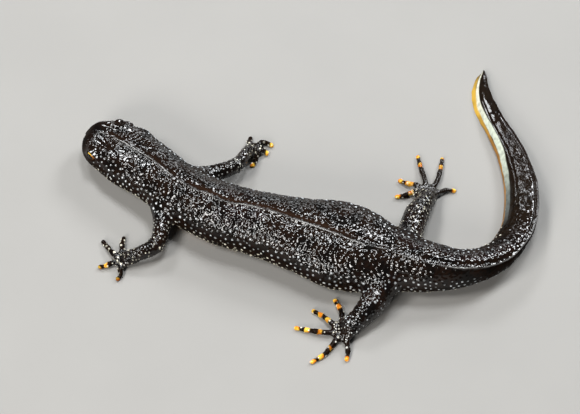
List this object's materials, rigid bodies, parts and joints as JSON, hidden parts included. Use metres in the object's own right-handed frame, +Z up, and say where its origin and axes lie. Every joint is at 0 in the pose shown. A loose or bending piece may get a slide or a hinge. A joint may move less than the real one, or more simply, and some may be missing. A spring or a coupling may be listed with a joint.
{
  "type": "great crested newt",
  "caption": "Still, life-size great crested newt, an adult male on land, walking low with its tail swung round beside it; rests on belly, feet and tail.",
  "frame": {"origin": "middle of the box's bottom face, on the floor under the newt's trunk", "axes": "+X towards the newt's rear, where the tail bends round; the head points along -X and a little +Y; +Y towards the newt's right, where the tail's tip lies; +Z up from the floor"},
  "size_m": [0.0916, 0.0718, 0.0109],
  "materials": {
    "skin": "wet, dark and warty, with white-tipped warts on the flanks, orange toe tips, a pale stripe on the tail's side and an orange belly with black blotches",
    "eye": "wet and glossy, black pupil in a thin golden iris"
  },
  "bodies": {
    "root": {"chest": "skin", "eye_left": "eye", "eye_right": "eye", "finger_left_1": "skin", "finger_left_2": "skin", "finger_left_3": "skin", "finger_left_4": "skin", "finger_right_1": "skin", "finger_right_2": "skin", "finger_right_3": "skin", "finger_right_4": "skin", "foot_left": "skin", "foot_right": "skin", "forearm_left": "skin", "forearm_right": "skin", "hand_left": "skin", "hand_right": "skin", "head": "skin", "lower_jaw": "skin", "neck": "skin", "pelvis": "skin", "shank_left": "skin", "shank_right": "skin", "tail_base": "skin", "tail_end": "skin", "tail_middle": "skin", "tail_tip": "skin", "thigh_left": "skin", "thigh_right": "skin", "toe_left_1": "skin", "toe_left_2": "skin", "toe_left_3": "skin", "toe_left_4": "skin", "toe_left_5": "skin", "toe_right_1": "skin", "toe_right_2": "skin", "toe_right_3": "skin", "toe_right_4": "skin", "toe_right_5": "skin", "trunk": "skin", "upper_arm_left": "skin", "upper_arm_right": "skin"}
  },
  "joints": []
}
